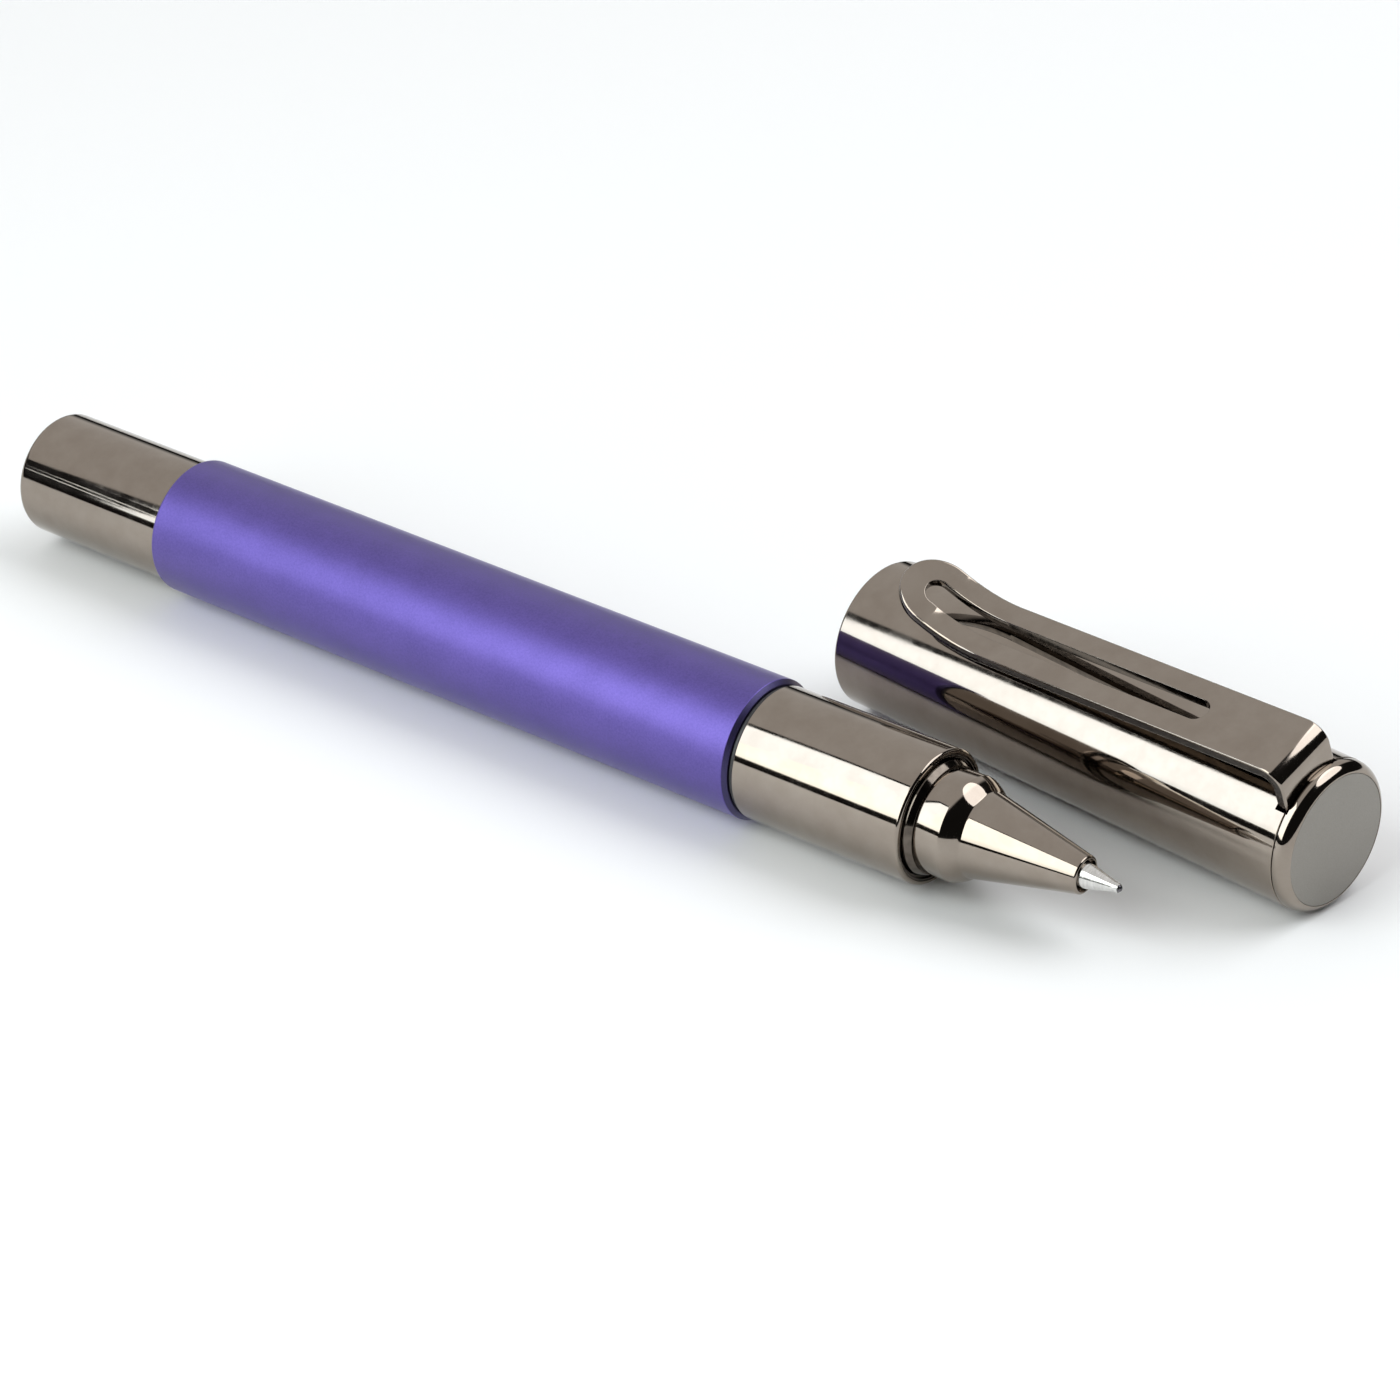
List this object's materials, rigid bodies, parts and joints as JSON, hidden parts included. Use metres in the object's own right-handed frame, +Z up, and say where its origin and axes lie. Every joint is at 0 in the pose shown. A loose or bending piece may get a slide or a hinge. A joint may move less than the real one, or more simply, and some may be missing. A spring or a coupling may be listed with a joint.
{
  "type": "technical pen",
  "caption": "Cylindrical capped rollerball pen with a slim grip, stepped cone nose and removable refill; its cap with a slotted kicked-up clip lies beside it.",
  "frame": {"origin": "on the surface the pen lies on, under the middle of the pen and cap together", "axes": "+X along the pen towards its point, +Z up, +Y towards the cap"},
  "size_m": [0.1354, 0.036, 0.018],
  "materials": {
    "purple_anodised": "bead-blasted purple anodising",
    "gunmetal": "polished gunmetal plating",
    "gunmetal_satin": "satin gunmetal plating",
    "brass": "turned",
    "magnet": "dark nickel plating",
    "steel": "bright spring steel",
    "tip_metal": "bright turned metal",
    "ball": "ground carbide ball with ink on it",
    "black_rubber": "matte",
    "black_plastic": "moulded",
    "refill_plastic": "moulded, translucent white",
    "ink_fibre": "ink-soaked fibre"
  },
  "bodies": {
    "pen_barrel": {"barrel": "purple_anodised", "barrel_liner": "brass", "tail_sleeve": "gunmetal", "tail_plug": "gunmetal", "tail_magnet": "magnet", "spring_seat": "black_plastic", "refill_spring": "steel"},
    "advance_ring": {"spacer_ring": "black_plastic"},
    "section": {"section_bush": "brass", "bush_o_ring": "black_rubber", "grip_sleeve": "gunmetal", "front_magnet": "magnet", "magnet_cover_ring": "gunmetal", "nose_cone": "gunmetal"},
    "refill": {"refill_tube": "refill_plastic", "refill_end_plug": "black_plastic", "ink_core": "ink_fibre", "refill_feed": "black_plastic", "refill_tip": "tip_metal"},
    "ball": {"writing_ball": "ball"},
    "cap": {"cap_tube": "gunmetal", "cap_magnet": "magnet", "cap_liner": "black_plastic", "cap_bush": "brass", "clip_anchor_ring": "gunmetal", "finial": "gunmetal", "finial_disc": "gunmetal_satin"},
    "clip_body": {"clip": "gunmetal"}
  },
  "joints": [
    {"name": "section_advance", "type": "slide", "parent": "pen_barrel", "child": "advance_ring", "axis": [1, 0, 0], "range_m": [0, 0.0084], "deforming": ["refill_spring"]},
    {"name": "section_unscrew", "type": "hinge", "parent": "advance_ring", "child": "section", "pos_m": [0.01991, -0.01147, 0.0065], "axis": [1, 0, 0], "range_deg": [0, 1440]},
    {"name": "refill_cushion", "type": "slide", "parent": "advance_ring", "child": "refill", "axis": [1, 0, 0], "range_m": [-0.0008, 0], "stiffness_N_per_m": 150, "springref_m": 0.008, "deforming": ["refill_spring"]},
    {"name": "ball_roll", "type": "hinge", "parent": "refill", "child": "ball", "pos_m": [0.05656, -0.01147, 0.0065], "axis": [0, 1, 0], "continuous": true},
    {"name": "cap_slide", "type": "slide", "parent": "pen_barrel", "child": "cap", "axis": [0.994, -0.109, 0], "range_m": [0, 0.037]},
    {"name": "clip_flex", "type": "hinge", "parent": "cap", "child": "clip_body", "pos_m": [0.06502, 0.00322, 0.01337], "axis": [0.1019, 0.9286, 0.3567], "range_deg": [0, 3], "stiffness_Nm_per_rad": 0.1, "springref_deg": -28.65}
  ],
  "couplings": [
    {"joint": "section_advance", "follows": "section_unscrew", "m_per_rad": 0.00033423}
  ]
}
